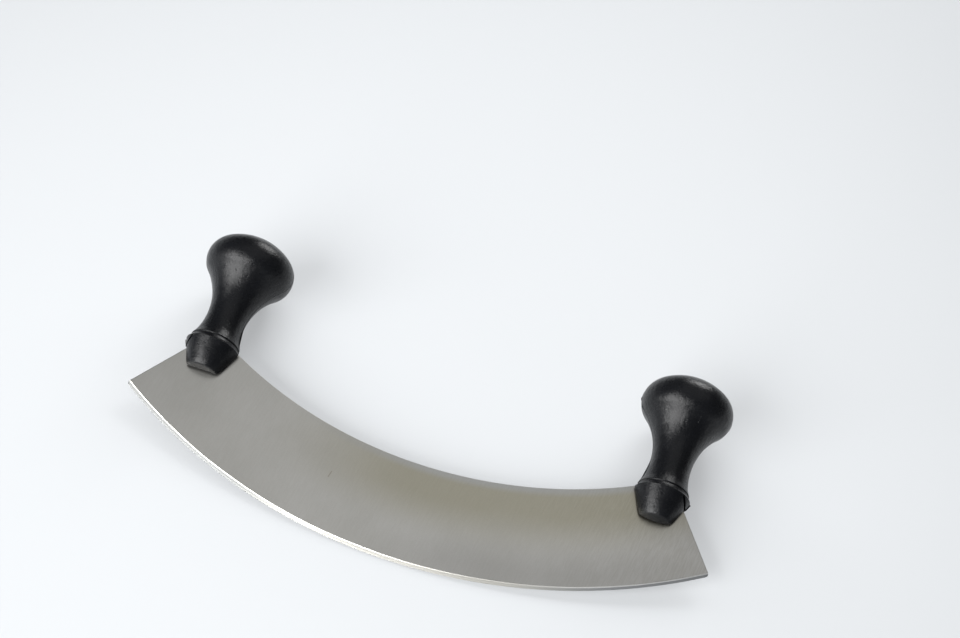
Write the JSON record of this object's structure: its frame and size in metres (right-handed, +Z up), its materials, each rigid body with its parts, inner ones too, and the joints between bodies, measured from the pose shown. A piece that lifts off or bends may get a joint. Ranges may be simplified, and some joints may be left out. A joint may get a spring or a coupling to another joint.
{
  "type": "mezzaluna knife",
  "caption": "Curved rocking chopping blade of ground steel with an upright black moulded knob handle at each end, for mincing herbs and vegetables with both hands.",
  "frame": {"origin": "centre of the bounding box's underside, on the table that the knife lies on", "axes": "+X along the blade, +Y from the cutting edge towards the knobs, +Z up off the table; the blade plane is tilted about 10 degrees about X, as the knife lies"},
  "size_m": [0.2942, 0.1366, 0.0456],
  "materials": {
    "steel": "warm grey stainless steel, belt-ground across the band, with a bright ground bevel along the cutting edge",
    "nylon": "near-black moulded nylon, satin"
  },
  "bodies": {
    "root": {"blade": "steel", "handle_left": "nylon", "handle_right": "nylon"}
  },
  "joints": []
}
